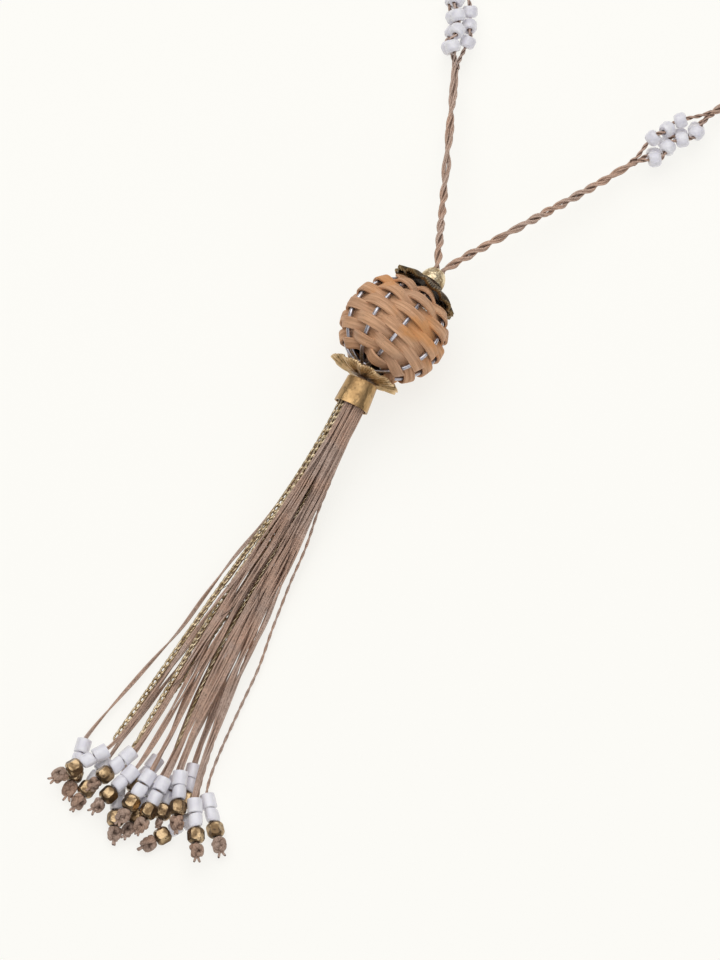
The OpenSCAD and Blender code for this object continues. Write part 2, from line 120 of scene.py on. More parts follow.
class Finish:
    """A material, or the world, made of nodes."""

    def __init__(self, name, owner=None):
        self.owner = owner or bpy.data.materials.new(name)
        self.owner.use_nodes = True
        self.tree = self.owner.node_tree
        self.tree.nodes.clear()

    def node(self, kind, settings=None, sockets=None, output=0):
        """Adds a node: its settings first, then the values or links of its sockets."""
        made = self.tree.nodes.new(kind)
        for name, value in (settings or {}).items():
            if name == "stops":
                while len(made.color_ramp.elements) < len(value):
                    made.color_ramp.elements.new(1)
                for stop, (position, colour) in zip(made.color_ramp.elements, value):
                    stop.position = position
                    stop.color = (*colour, 1)
            else:
                setattr(made, name, value)
        for name, value in (sockets or {}).items():
            if isinstance(value, Socket):
                self.tree.links.new(value.output, made.inputs[name])
            else:
                is_colour = made.inputs[name].type == "RGBA"
                made.inputs[name].default_value = (*value, 1) if is_colour else value
        return Socket(self, made.outputs[output]) if made.outputs else None

    def coordinates(self, kind="Object"):
        return self.node("ShaderNodeTexCoord", output=kind)

    def stretched(self, vector, scale):
        return self.node("ShaderNodeMapping", sockets={"Vector": vector, "Scale": scale})

    def noise(self, vector, scale, detail=3, roughness=0.5):
        return self.node("ShaderNodeTexNoise", sockets={
            "Vector": vector, "Scale": scale, "Detail": detail, "Roughness": roughness,
        })

    def steps(self, value, low, high, at_low=0, at_high=1):
        """A smooth step from at_low to at_high as the value goes from low to high."""
        return self.node(
            "ShaderNodeMapRange", {"interpolation_type": "SMOOTHSTEP"},
            {0: value, 1: low, 2: high, 3: at_low, 4: at_high},
        )

    def mixed(self, factor, first, second):
        """Two colours mixed. They go to the Mix node's inputs 6 and 7, and its output 2 has them."""
        return self.node(
            "ShaderNodeMix", {"data_type": "RGBA"}, {0: factor, 6: first, 7: second}, output=2
        )

    def bump(self, height, strength, distance):
        return self.node(
            "ShaderNodeBump",
            sockets={"Height": height, "Strength": strength, "Distance": distance * MM},
        )

    def surface(self, **values):
        """Ends the material in a Principled shader. Names use _ for a space."""
        sockets = {name.replace("_", " "): value for name, value in values.items()}
        shader = self.node("ShaderNodeBsdfPrincipled", sockets=sockets)
        self.node("ShaderNodeOutputMaterial", sockets={"Surface": shader})
        return self.owner


ivory = (0.24, 0.235, 0.22)
ivory_shade = tuple(c * 0.97 for c in ivory)
ivory_glow = (0.963, 0.957, 0.92)
glow_strength = 0.8
table_size = 6
bpy.ops.mesh.primitive_plane_add(size=table_size)
table = bpy.context.object
table.name = "table"
sheet = Finish("ivory_sheet")
table.data.materials.append(sheet.surface(
    Base_Color=sheet.mixed(sheet.noise(sheet.coordinates(), 3), ivory, ivory_shade),
    Roughness=1.0,
    Specular_IOR_Level=0.0,
    Emission_Color=ivory_glow,
    Emission_Strength=glow_strength,
))

surround = bpy.data.worlds.new("surround")
bpy.context.scene.world = surround
sky = Finish("surround", surround)
sky_z = sky.node("ShaderNodeSeparateXYZ", sockets={0: sky.coordinates("Generated")}, output=2)
sky_stops = [
    (0.5, (0.10, 0.10, 0.11)),
    (0.72, (0.22, 0.22, 0.23)),
    (1.0, (0.95, 0.95, 0.97)),
]
sky_colour = sky.node("ShaderNodeValToRGB", {"stops": sky_stops}, {0: sky_z * 0.5 + 0.5})
sky_light = sky.node("ShaderNodeBackground", sockets={"Color": sky_colour, "Strength": 0.75})
sky.node("ShaderNodeOutputWorld", sockets={"Surface": sky_light})


def soft_light(name, location, size, power, colour):
    """A square soft light that faces the ball."""
    toward = place(*ball_centre) - Vector(location)
    bpy.ops.object.light_add(
        type="AREA", location=location, rotation=toward.to_track_quat("-Z", "Y").to_euler()
    )
    light = bpy.context.object
    light.name = name
    light.data.size = size
    light.data.energy = power
    light.data.color = colour


soft_light("overhead_light", (-0.55, 0.35, 1.5), size=2.2, power=19, colour=(1, 0.99, 0.97))
soft_light("side_light", (1.3, -0.9, 0.9), size=1.2, power=5, colour=(0.97, 0.98, 1))
bpy.context.scene.view_settings.view_transform = "Standard"


# Neck cord. Waxed linen yarns, three to a ply, and two plies laid round each other. It leaves the
# dome in a V and closes in an arc. Between the clusters its plies stay together.
cord_length = 840
cord_d = 2.5
cord_spread = math.radians(25.5)
cord_apex = (0, 20.5, 14.6)
half_length = cord_length / 2
arc_r = half_length / (1 / math.tan(cord_spread) + math.pi / 2 + cord_spread)
side_l = arc_r / math.tan(cord_spread)
arc_centre_y = cord_apex[1] + arc_r / math.sin(cord_spread)
first_cluster = 68
cluster_step = 85
cluster_length = 26
cluster_starts = [first_cluster + i * cluster_step for i in range(3)]
cord_lie = 1.4
cluster_lie = 5.45
rise_length = 18
fall_length = 22
lie_keys = [(0, cord_apex[2])]
for start in cluster_starts:
    if start > first_cluster:
        lie_keys.append((start - rise_length, cord_lie))
    lie_keys.append((start, cluster_lie))
    lie_keys.append((start + cluster_length, cluster_lie))
    lie_keys.append((start + cluster_length + fall_length, cord_lie))
lie_keys.append((half_length, cord_lie))
lie_keys = np.array(lie_keys)
end_x = 0.97
pressed_r = 0.85
pressed_length = 2.4
swell_length = 5
UP = np.array((0.0, 0.0, 1.0))


def eased(t):
    t = np.clip(t, 0, 1)
    return t * t * (3 - 2 * t)


def unit(v):
    return v / np.linalg.norm(v, axis=-1, keepdims=True)


def lie_at(s):
    """Height of the cord's middle at distances from the dome."""
    key = np.clip(np.searchsorted(lie_keys[:, 0], s) - 1, 0, len(lie_keys) - 2)
    low = lie_keys[key]
    high = lie_keys[key + 1]
    return low[:, 1] + (high[:, 1] - low[:, 1]) * eased((s - low[:, 0]) / (high[:, 0] - low[:, 0]))


def cord_at(s):
    """Points of the cord's middle, in millimetres from the ball, at distances along it."""
    s = np.atleast_1d(np.asarray(s, float))
    d = np.minimum(s, cord_length - s)
    turn = (d - side_l) / arc_r - cord_spread
    straight = d < side_l
    x = np.where(straight, np.maximum(end_x, d * math.sin(cord_spread)), arc_r * np.cos(turn))
    y = np.where(
        straight, cord_apex[1] + d * math.cos(cord_spread), arc_centre_y + arc_r * np.sin(turn)
    )
    side = np.where(s <= half_length, 1, -1)
    return np.stack([side * x, y, lie_at(d)], axis=1)


def frames_along(path):
    """Unit vectors along a path, to its left and over it, at each of its points."""
    along = unit(np.gradient(path, axis=0))
    left = unit(np.cross(UP, along))
    return along, left, np.cross(along, left)


def gone_along(path):
    """Distance from the path's start to each of its points."""
    return np.concatenate([[0], np.cumsum(np.linalg.norm(np.diff(path, axis=0), axis=1))])


def evenly(path, step):
    """The same path with its points evenly spaced, about one step apart."""
    gone = gone_along(path)
    count = max(2, round(gone[-1] / step) + 1)
    wanted = np.linspace(0, gone[-1], count)
    return np.stack([np.interp(wanted, gone, path[:, k]) for k in range(3)], axis=1)


def to_metres(path):
    return (path + np.array((0, ball_y, 0))) * MM


def select(pieces):
    """Selects these pieces alone, with the first as the active one."""
    bpy.ops.object.select_all(action="DESELECT")
    for piece in pieces:
        piece.select_set(True)
    bpy.context.view_layer.objects.active = pieces[0]


def edit_all(operator, **settings):
    """Runs a mesh operator on the whole of the active piece."""
    bpy.ops.object.mode_set(mode="EDIT")
    bpy.ops.mesh.select_all(action="SELECT")
    operator(**settings)
    bpy.ops.object.mode_set(mode="OBJECT")


def yarn_mesh(name, yarns, radius, rounds=1, ends=0.6):
    """Yarns as one mesh. Each yarn is its path and the middle of its cord, in millimetres. The UV
    map holds millimetres along the yarn and turns round it, and the attribute "bulge" holds the
    distance from the cord's middle. The rings of its two caps come first in each yarn."""
    sides = 4 + 2 * rounds
    made = []
    for path, _ in yarns:
        curve = bpy.data.curves.new(name, "CURVE")
        curve.dimensions = "3D"
        curve.bevel_depth = 1
        curve.bevel_resolution = rounds
        curve.use_fill_caps = True
        spline = curve.splines.new("POLY")
        spline.points.add(len(path) - 1)
        points = np.ones((len(path), 4))
        points[:, :3] = to_metres(path)
        spline.points.foreach_set("co", points.ravel())
        size = np.full(len(path), radius * MM)
        size[[0, -1]] *= ends
        spline.points.foreach_set("radius", size)
        yarn = bpy.data.objects.new(name, curve)
        bpy.context.scene.collection.objects.link(yarn)
        made.append(yarn)
    select(made)
    bpy.ops.object.convert(target="MESH")
    for yarn, (path, middle) in zip(made, yarns):
        length = gone_along(path)[-1]
        along = yarn.data.uv_layers[0].uv
        uv = np.zeros(len(along) * 2, np.float32)
        along.foreach_get("vector", uv)
        uv[0::2] *= length
        along.foreach_set("vector", uv)
        places = np.zeros(len(yarn.data.vertices) * 3)
        yarn.data.vertices.foreach_get("co", places)
        ring = np.maximum(np.arange(len(yarn.data.vertices)) - 2 * sides, 0) // sides
        bulge = np.linalg.norm(places.reshape(-1, 3) - to_metres(middle)[ring], axis=1) / MM
        bulge[:2 * sides] = 0
        yarn.data.attributes.new("bulge", "FLOAT", "POINT").data.foreach_set("value", bulge)
    bpy.ops.object.join()
    piece = bpy.context.object
    piece.name = name
    edit_all(bpy.ops.mesh.remove_doubles, threshold=1e-6)
    bpy.ops.object.shade_smooth()
    return piece


def laid_round(path, count, out, turns):
    """Paths of count plies that turn round a path, at a distance out from it."""
    _, left, over = frames_along(path)
    out = np.broadcast_to(np.asarray(out, float), len(path))[:, None]
    plies = []
    for k in range(count):
        turn = (2 * math.pi * (turns + k / count))[:, None]
        plies.append(path + out * (np.cos(turn) * left + np.sin(turn) * over))
    return plies


def linen_finish(name, light, dark, groove_painted_shade, bulge_low, bulge_high, slant_pitch):
    """Waxed linen twine: fibres that slant round the yarn, pale flecks, and painted shade in the
    grooves between its yarns.
    """
    finish = Finish(name)
    along = finish.node("ShaderNodeSeparateXYZ", sockets={0: finish.coordinates("UV")})
    around = along.beside(1)
    slant = finish.node("ShaderNodeCombineXYZ", sockets={
        0: (along / slant_pitch + around) * 9, 1: along * 0.5, 2: around * 0.4,
    })
    fibres = finish.noise(slant, 1.0, detail=4, roughness=0.7)
    body = finish.coordinates()
    patches = finish.noise(body, 230)
    flecks = finish.noise(body, 2400, detail=2)
    tone = finish.steps(fibres * 0.55 + patches * 0.25 + flecks * 0.3, 0.4, 0.7)
    warm = (light[0] * 1.03, light[1] * 0.9, light[2] * 0.8)
    pale = finish.mixed(finish.steps(finish.noise(body, 90), 0.42, 0.6), light, warm)
    # Painted shade: the nearer to the cord's middle, the more the surface takes the groove colour.
    bulge = finish.node("ShaderNodeAttribute", {"attribute_name": "bulge"}, output="Fac")
    clear_of_groove_shade = finish.steps(bulge + (flecks - 0.5) * 0.35, bulge_low, bulge_high)
    colour = finish.mixed(clear_of_groove_shade, groove_painted_shade, finish.mixed(tone, dark, pale))
    return finish.surface(
        Base_Color=colour,
        Roughness=finish.steps(fibres, 0.3, 0.7, 0.85, 0.6),
        Normal=finish.bump(fibres * 0.7 + flecks * 0.3, 1.0, 0.14),
        Specular_IOR_Level=0.25,
    )


# Each linen's groove colour is painted shade between its yarns.
cord_linen = linen_finish(
    "cord_linen", light=(0.70, 0.525, 0.43), dark=(0.42, 0.29, 0.22), groove_painted_shade=(0.27, 0.175, 0.13),
    bulge_low=0.2, bulge_high=0.7, slant_pitch=3.4,
)
ply_out = 0.62
yarn_out = 0.36
yarn_r = 0.32
yarn_pitch = 15
yarn_step = 0.55
lay_right = 10.4
lay_left_tight = 9.6
lay_left_slack = 30
slack_from = 26
slack_ease_in = 10
slack_ease_out = 20


def cord_turns(distances, phase):
    """Turns of the two plies. On the left they go slack before the first cluster."""
    d = np.minimum(distances, cord_length - distances)
    left = distances > half_length
    slack = eased((d - slack_from) / slack_ease_in) * left
    slack *= eased((first_cluster + cluster_length - d) / slack_ease_out)
    lay = np.where(left, lay_left_tight, lay_right) + (lay_left_slack - lay_left_tight) * slack
    turns = np.cumsum(np.abs(np.gradient(distances)) / lay)
    return turns + phase + 0.07 * np.sin(d / 7.3) + 0.04 * np.sin(d / 3.1 + 1)


def cord_yarns(start, finish, phase):
    """Yarns of one stretch of cord: three to a ply, two plies to the cord."""
    distances = np.linspace(start, finish, round(abs(finish - start) / yarn_step) + 1)
    path = cord_at(distances)
    from_dome = np.minimum(distances, cord_length - distances)
    swell = eased((from_dome - pressed_length) / swell_length)
    share = (pressed_r + (cord_d / 2 - pressed_r) * swell) / (cord_d / 2)
    loose = share * (1 + 0.1 * np.sin(from_dome / 5.7 + phase) * eased(from_dome / 8))
    yarns = []
    for ply in laid_round(path, 2, ply_out * loose, cord_turns(distances, phase)):
        turns = gone_along(ply) / yarn_pitch + 0.15 * np.sin(distances / 6.1)
        yarns += [(yarn, path) for yarn in laid_round(ply, 3, yarn_out * share, turns + phase)]
    return yarns


def cord_piece(name, stretches):
    yarns = []
    for start, finish, phase in stretches:
        yarns += cord_yarns(start, finish, phase)
    piece = yarn_mesh(name, yarns, yarn_r)
    piece.data.materials.append(cord_linen)
    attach(piece, "root")
    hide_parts(name)


opened = [(start, start + cluster_length) for start in cluster_starts]
right_stretches = [
    (0, opened[0][0], 0.4),
    (opened[0][1], opened[1][0], 1.1),
    (opened[1][1], opened[2][0], 2.0),
]
left_stretches = [
    (cord_length - start, cord_length - finish, phase + 0.9)
    for start, finish, phase in right_stretches
]
cord_piece("neck_cord", right_stretches + left_stretches)
cord_piece("neck_cord_back", [(opened[2][1], cord_length - opened[2][1], 0.7)])


# Cluster strands. Where the cord opens, three strands of two yarns each go through the beads of
# a cluster and close again behind them.
Seed = namedtuple("Seed", "shift away skew")
seed_rows = [Seed(*row) for row in (
    (10, 22, 14),
    (-6, 20, -20),
    (0, 16, 24),
    (-10, -22, -16),
    (10, -18, 22),
    (4, 0, -24),
    (-4, 20, 12),
    (6, 18, -22),
    (-8, -16, 20),
    (8, -22, -14),
    (-10, -20, 18),
)]
seed_l = 3.4
seed_step = 1.62
seed_start = 4.8
seed_out = 3
cluster_turns = [150, 60, 200, 200, 20, 105]
strand_gather = 0.72
strand_lead = 1
strand_past_bead = 0.15
strand_per_leg = 12
strand_point_step = 0.3


def seed_turn(cluster, k):
    return math.radians(cluster_turns[cluster] + 120 * k + seed_rows[k].shift)


def seed_place(cluster, k):
    """Place of bead k in its cluster: along the cord, to its left, and up."""
    turn = seed_turn(cluster, k)
    along = seed_start + seed_step * k
    return np.array((along, seed_out * math.cos(turn), seed_out * math.sin(turn)))


def seed_axis(cluster, k):
    """The bead leans away from the cord, and is skew round it."""
    turn = seed_turn(cluster, k)
    away = math.tan(math.radians(seed_rows[k].away))
    skew = math.tan(math.radians(seed_rows[k].skew))
    return unit(np.array((
        1.0,
        away * math.cos(turn) - skew * math.sin(turn),
        away * math.sin(turn) + skew * math.cos(turn),
    )))


def on_cord(cluster, p):
    """A cluster's place turned into the necklace's. The left side is a mirror image."""
    s = cluster_starts[min(cluster, 5 - cluster)] + p[0]
    middle = cord_at([s])[0]
    along = unit(cord_at([s + 0.5])[0] - cord_at([s - 0.5])[0])
    left = unit(np.cross(UP, along))
    q = middle + p[1] * left + p[2] * UP
    return q * np.array((1 if cluster < 3 else -1, 1, 1))


def strand_end(s, turn):
    return np.array((s, strand_gather * math.cos(turn), strand_gather * math.sin(turn)))


def hermite(a, da, b, db, t):
    """A smooth curve from a to b that sets out along da and arrives along db."""
    return (
        (2 * t**3 - 3 * t**2 + 1) * a + (t**3 - 2 * t**2 + t) * da
        + (3 * t**2 - 2 * t**3) * b + (t**3 - t**2) * db
    )


def rounded(points, per_leg):
    """A smooth path through points."""
    points = np.asarray(points)
    leg = np.linalg.norm(np.diff(points, axis=0), axis=1)
    pull = unit(np.gradient(points, axis=0))
    pull[0] = unit(points[1] - points[0])
    pull[-1] = unit(points[-1] - points[-2])
    path = []
    for i, length in enumerate(leg):
        ends = points[i], pull[i] * length, points[i + 1], pull[i + 1] * length
        path += [hermite(*ends, t) for t in np.arange(per_leg) / per_leg]
    path.append(points[-1])
    return np.array(path)


def strand_path(cluster, j):
    turn = math.radians(cluster_turns[cluster] + 120 * j)
    reach = seed_l / 2 + strand_past_bead
    places = [strand_end(-strand_lead, turn), strand_end(strand_lead, turn)]
    for k in range(j, len(seed_rows), 3):
        axis = seed_axis(cluster, k)
        places += [seed_place(cluster, k) - reach * axis, seed_place(cluster, k) + reach * axis]
    for s in (cluster_length - strand_lead, cluster_length + strand_lead):
        places.append(strand_end(s, turn))
    return evenly(rounded([on_cord(cluster, p) for p in places], strand_per_leg), strand_point_step)


strand_out = 0.27
strand_yarn_r = 0.33
strand_pitch = 5.5
strand_yarns = []
for cluster in range(6):
    for j in range(3):
        path = strand_path(cluster, j)
        turns = gone_along(path) / strand_pitch + 0.3 * cluster + 0.2 * j
        strand_yarns += [(yarn, path) for yarn in laid_round(path, 2, strand_out, turns)]
strands = yarn_mesh("cluster_strands", strand_yarns, strand_yarn_r)
# The strand linen's groove colour is painted shade between its two yarns.
strands.data.materials.append(linen_finish(
    "strand_linen", light=(0.66, 0.505, 0.43), dark=(0.36, 0.25, 0.2), groove_painted_shade=(0.1, 0.06, 0.04),
    bulge_low=0.25, bulge_high=0.5, slant_pitch=2.4,
))
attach(strands, "root")
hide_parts("cluster_strands")


# Cluster beads. Opaque white glass, tumbled so that the cut ends are round, with a cool shade
# and a soft gloss. They sit loosely on the strands.
def dress(name, finish):
    """Gives a solid its finish."""
    slots = nodes[name].data.materials
    slots.clear()
    slots.append(finish)


glass_white = (0.88, 0.87, 0.905)
glass_shade = (0.8, 0.785, 0.84)


def glass_finish(name, roughness):
    """Opaque white glass with pale clouds. A little light goes in and comes out again."""
    finish = Finish(name)
    body = finish.coordinates()
    cloud = finish.noise(body, 320, detail=2)
    pits = finish.noise(body, 1500)
    return finish.surface(
        Base_Color=finish.mixed(finish.steps(cloud, 0.35, 0.65), glass_white, glass_shade),
        Roughness=finish.steps(pits, 0.3, 0.7, roughness, roughness + 0.12),
        Normal=finish.bump(pits + cloud * 2, 0.25, 0.08),
        Subsurface_Weight=0.25,
        Subsurface_Radius=(0.8, 0.8, 0.9),
        Subsurface_Scale=0.8 * MM,
        Coat_Weight=0.35,
        Coat_Roughness=0.12,
    )


seed_glass = glass_finish("seed_glass", roughness=0.22)
for cluster in range(1, 7):
    dress(f"bead_cluster_{cluster}", seed_glass)


# Dome bead. A small cap of thin pale brass, pressed over the cord's ends above the upper cup.
def brass_finish(name, bright, dull, dark, wear, roughness, dents, grain):
    """Brass: bright where it is rubbed, dull between, and dark in patches, with shallow dents."""
    finish = Finish(name)
    body = finish.coordinates()
    rubbed = finish.steps(finish.noise(body, 260 * grain, detail=4, roughness=0.6), *wear)
    stains = finish.steps(finish.noise(body, 620 * grain, detail=5, roughness=0.7), 0.54, 0.7)
    scratches = finish.noise(finish.stretched(body, (1, 0.12, 0.6)), 4200, detail=2)
    dented = finish.noise(body, 420 * grain, detail=2)
    polish = rubbed - stains * 0.4 + scratches * 0.25
    return finish.surface(
        Base_Color=finish.mixed(stains, finish.mixed(rubbed, dull, bright), dark),
        Metallic=1 - stains * 0.35,
        Roughness=finish.steps(polish, 0.0, 1.1, roughness[1], roughness[0]),
        Normal=finish.bump(dented + scratches * 0.08, dents, 0.5),
    )


dress("dome_bead", brass_finish(
    "pale_brass", bright=(0.88, 0.74, 0.5), dull=(0.5, 0.36, 0.2), dark=(0.2, 0.12, 0.05),
    wear=(0.38, 0.52), roughness=(0.42, 0.55), dents=1.0, grain=1.6,
))


# Wire cage. Nine bright drawn wires run from ring to ring and carry the weave.
steel_bright = (0.66, 0.65, 0.69)
steel_grey = (0.42, 0.41, 0.45)
steel = Finish("drawn_wire")
steel_streaks = steel.noise(steel.coordinates(), 900)
dress("wire_ribs", steel.surface(
    Base_Color=steel.mixed(steel.steps(steel_streaks, 0.35, 0.65), steel_bright, steel_grey),
    Metallic=1.0,
    Roughness=steel.steps(steel_streaks, 0.3, 0.7, 0.25, 0.4),
))


# Rattan weave. One peeled rattan strip winds round the cage, over one wire and under the next.
# It is flat with rounded edges, dry and matt. It is narrowest between two wires, and spreads where
# it dips under one. Its back, inside the ball, is painted dark as shade.
cage_r = 13.95
ball_lean = math.radians(5.6)
rib_longitudes = [-58, -18, 18, 67, 104, 143, 181, 221, 261]
weave_start = math.radians(33)
weave_turns = 10.45
row_pitch = math.radians(11.25)
strip_over = 1.1
strip_under = 1.25
strip_t = 0.8
strip_w = 3.25
strip_w_under = 4.6
strip_w_middle = 3.1
strip_w_easing = 1.2
strip_crown = 0.07
strip_edge = 0.2
steps_per_gap = 12
strip_columns = 6
mean_girth = 2 * math.pi * cage_r * 0.93


def toward_neck(centre, lean, points):
    """Upright points turned to point towards the neck, with their X side up."""
    x, y, z = np.moveaxis(np.asarray(points, float), -1, 0)
    ahead_x = math.sin(lean)
    ahead_y = math.cos(lean)
    turned = np.stack([y * ahead_y + z * ahead_x, -y * ahead_x + z * ahead_y, x], axis=-1)
    return turned + np.array(centre)


def weave_longitude(t):
    """Longitude of the strip after t gaps between wires."""
    wires = len(rib_longitudes)
    unrolled = np.array(rib_longitudes + [rib_longitudes[0] + 360])
    gap = np.floor(t).astype(int)
    low = unrolled[gap % wires]
    high = unrolled[gap % wires + 1]
    return np.radians(low + (high - low) * (t - gap) + 360 * (gap // wires))


weave_gaps = int(weave_turns * len(rib_longitudes))
strip_steps = weave_gaps * steps_per_gap
strip_length = mean_girth * weave_turns
bpy.ops.mesh.primitive_grid_add(x_subdivisions=strip_steps, y_subdivisions=strip_columns, size=2)
weave = bpy.context.object
weave.name = "rattan_weave"
grid = np.array([v.co for v in weave.data.vertices])
t = (grid[:, 0] + 1) / 2 * weave_gaps
longitude = weave_longitude(t)
first_longitude = math.radians(rib_longitudes[0])
wave = np.cos(math.pi * t)
height = np.where(wave > 0, strip_over, strip_under) * wave
crossing_w = np.where(wave > 0, strip_w, strip_w_under)
width = strip_w_middle + (crossing_w - strip_w_middle) * np.abs(wave) ** strip_w_easing
colatitude = weave_start + row_pitch * (longitude - first_longitude) / (2 * math.pi)
column = np.sin(grid[:, 1] * math.pi / 2)
sway = 0.1 * np.sin(longitude * 3) + 0.05 * np.sin(longitude * 7)
r = cage_r + height - strip_crown * column ** 2


def on_globe(colatitude, longitude):
    """Unit vectors from the ball's middle."""
    level = np.sin(colatitude)
    return np.stack([level * np.cos(longitude), level * np.sin(longitude), np.cos(colatitude)], 1)


strip_points = on_globe(colatitude, longitude) * r[:, None]
strip_points += on_globe(colatitude + math.pi / 2, longitude) * (column * width / 2 + sway)[:, None]
strip_points = toward_neck(ball_centre, ball_lean, strip_points)
weave.data.vertices.foreach_set("co", to_metres(strip_points).ravel())


def add_modifier(piece, kind, **settings):
    """Adds a modifier and applies it at once."""
    select([piece])
    modifier = piece.modifiers.new(kind, kind)
    for name, value in settings.items():
        setattr(modifier, name, value)
    bpy.ops.object.modifier_apply(modifier=modifier.name)


edit_all(bpy.ops.mesh.flip_normals)
# Painted shade: the strip's back, inside the ball, is dark brown so that the ball's inside reads
# dark.
painted_shade_brown = (0.11, 0.065, 0.035)
painted_shade_dark = (0.05, 0.03, 0.018)
strip_back_painted_shade = Finish("strip_back_painted_shade")
back_grain = strip_back_painted_shade.noise(strip_back_painted_shade.coordinates(), 500)
weave.data.materials.append(None)
weave.data.materials.append(strip_back_painted_shade.surface(
    Base_Color=strip_back_painted_shade.mixed(back_grain, painted_shade_dark, painted_shade_brown),
    Roughness=0.9,
    Normal=strip_back_painted_shade.bump(back_grain, 0.5, 0.2),
    Specular_IOR_Level=0.2,
))
add_modifier(weave, "SOLIDIFY", thickness=strip_t * MM, offset=0, material_offset=1)
add_modifier(
    weave, "BEVEL", width=strip_edge * MM, segments=3, limit_method="ANGLE",
    angle_limit=math.radians(50),
)
edit_all(bpy.ops.mesh.normals_make_consistent, inside=False)
bpy.ops.object.shade_smooth()

rattan = Finish("peeled_rattan")
strip_map = rattan.coordinates("UV")
ball_body = rattan.coordinates()
coarse_map = rattan.stretched(strip_map, (strip_length / 9, 7, 1))
fine_map = rattan.stretched(strip_map, (strip_length / 3, 26, 1))
grain_lines = rattan.noise(coarse_map, 1.0, detail=4, roughness=0.6)
fine_grain = rattan.noise(fine_map, 1.0, roughness=0.7)
patches = rattan.noise(ball_body, 95)
specks = rattan.noise(ball_body, 1900, detail=2)
rattan_pale = (0.76, 0.45, 0.26)
rattan_brown = (0.46, 0.235, 0.12)
rattan_orange = (0.72, 0.32, 0.10)
rattan_grey = (0.55, 0.34, 0.22)
rattan_speck = (0.25, 0.14, 0.08)
rattan_tone = rattan.mixed(rattan.steps(grain_lines, 0.32, 0.68), rattan_brown, rattan_pale)
rattan_tone = rattan.mixed(rattan.steps(patches, 0.52, 0.66) * 0.65, rattan_tone, rattan_orange)
rattan_tone = rattan.mixed(rattan.steps(patches, 0.46, 0.3) * 0.45, rattan_tone, rattan_grey)
rattan_tone = rattan.mixed(rattan.steps(specks, 0.6, 0.72) * 0.35, rattan_tone, rattan_speck)
weave.data.materials[0] = rattan.surface(
    Base_Color=rattan_tone,
    Roughness=rattan.steps(fine_grain, 0.3, 0.7, 0.5, 0.72),
    Normal=rattan.bump(grain_lines * 0.6 + fine_grain * 0.4, 0.55, 0.16),
    Specular_IOR_Level=0.35,
)
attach(weave, "root")
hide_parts("rattan_weave")


# Petal cups. Thin sheet brass pressed into twelve petals, engraved with rays, its rim cut ragged.
# Both open towards the ball. The upper one is painted almost black, partly patina and partly painted
# shade, with a painted highlight at its rim inside. The lower one is antiqued, with painted shade
# towards the hole and a painted highlight at its rim, and stands square on the tube.
petals = 12
petal_r = 10.7
cup_hole_r = 1.75
cup_sheet_t = 0.75
drawn_sheet_t = 0.45
sheet_edge = 0.1
cup_columns = petals * 42
cup_rings = 16
rays_per_petal = 7
scallop = 0.9
bite_rise = 1.2
ragged = random.Random(4)
bites = [
    (ragged.randrange(7, 60), ragged.uniform(0, 6.28), ragged.uniform(0.02, 0.05))
    for _ in range(10)
]


def laid_along(centre, direction, points):
    """Upright points turned along a direction."""
    over = math.hypot(direction[0], direction[1])
    level = np.array((-direction[1], direction[0], 0)) / over
    x_side = np.cross(level, direction)
    return points @ np.stack([x_side, level, direction]) + np.array(centre)


def petal_cup(name, pose, depth, flute, ray, tooth):
    """A cup: rings drawn out from the hole to the rim, then fluted. Material 0 is on its face, away
    from the ball, and 1 is on its inside."""
    bpy.ops.mesh.primitive_circle_add(vertices=cup_columns, radius=1)
    cup = bpy.context.object
    cup.name = name
    bpy.ops.object.mode_set(mode="EDIT")
    bpy.ops.mesh.select_all(action="SELECT")
    growth = (petal_r / cup_hole_r) ** (1 / cup_rings)
    for _ in range(cup_rings):
        bpy.ops.mesh.extrude_region_move()
        bpy.ops.transform.resize(value=(growth, growth, 1))
    bpy.ops.object.mode_set(mode="OBJECT")
    flat = np.array([v.co for v in cup.data.vertices])
    angle = np.arctan2(flat[:, 1], flat[:, 0])
    ring = np.round(np.log(np.hypot(flat[:, 0], flat[:, 1])) / math.log(growth))
    share = np.sin(ring / cup_rings * math.pi / 2)
    petal = np.cos(petals * angle)
    teeth = np.cos(rays_per_petal * petals * angle)
    cut = sum(size * np.sin(count * angle + turn) for count, turn, size in bites)
    r = cup_hole_r + share * (petal_r - cup_hole_r - scallop * (1 - petal) / 2 * share)
    r += (cut + tooth * (teeth - 1)) * share ** 6
    z = -depth * share ** 2 + flute * petal * eased(share * 1.3) - cup_sheet_t / 2
    z += ray * teeth * eased((share - 0.25) * 2) + bite_rise * cut * share ** 4
    points = np.stack([r * np.cos(angle), r * np.sin(angle), z], axis=1)
    cup.data.vertices.foreach_set("co", to_metres(pose(points)).ravel())
    cup.data.update()
    ahead = pose(np.array([[0, 0, 1.0]])) - pose(np.zeros((1, 3)))
    if cup.data.polygons[0].normal.dot(Vector(ahead[0])) < 0:
        cup.data.flip_normals()
    cup.data.materials.append(None)
    cup.data.materials.append(None)
    add_modifier(cup, "SOLIDIFY", thickness=drawn_sheet_t * MM, offset=0, material_offset=1)
    add_modifier(
        cup, "BEVEL", width=sheet_edge * MM, segments=1, limit_method="ANGLE",
        angle_limit=math.radians(60),
    )
    bpy.ops.object.shade_smooth_by_angle(angle=math.radians(40))
    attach(cup, "root")
    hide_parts(name)
    return cup


